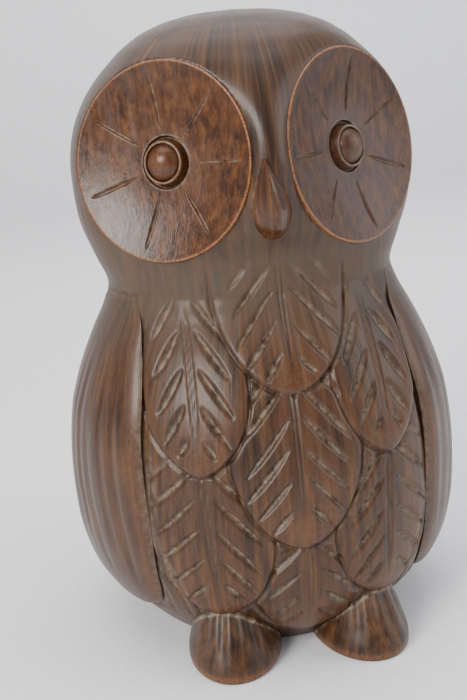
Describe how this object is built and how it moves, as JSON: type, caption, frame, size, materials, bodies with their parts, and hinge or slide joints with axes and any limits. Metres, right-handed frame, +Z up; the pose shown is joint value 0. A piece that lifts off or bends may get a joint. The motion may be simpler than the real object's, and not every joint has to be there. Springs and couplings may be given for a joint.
{
  "type": "carved wooden owl figurine",
  "caption": "Free-standing carved wooden owl: barrel body with feather carving, let-in wings, round head with dished face discs, turned eyes, beak and feet.",
  "frame": {"origin": "on the floor, under the middle of the body", "axes": "+Z up, the face looks along -Y, +X towards the owl's left"},
  "size_m": [0.1798, 0.1711, 0.2705],
  "materials": {
    "carved_wood": "dark brown satin lacquer, pale wax in the cuts",
    "turned_wood": "red-brown gloss lacquer, pale wax in the cuts",
    "dowel_wood": "bare beech"
  },
  "bodies": {
    "root": {"torso": "carved_wood", "head": "carved_wood", "left_wing": "carved_wood", "right_wing": "carved_wood", "left_foot": "carved_wood", "right_foot": "carved_wood", "left_face_disc": "turned_wood", "right_face_disc": "turned_wood", "left_eye_ring": "turned_wood", "right_eye_ring": "turned_wood", "left_eye_bead": "turned_wood", "right_eye_bead": "turned_wood", "beak": "carved_wood", "neck_dowel": "dowel_wood", "wing_dowels": "dowel_wood", "foot_dowels": "dowel_wood"}
  },
  "joints": []
}
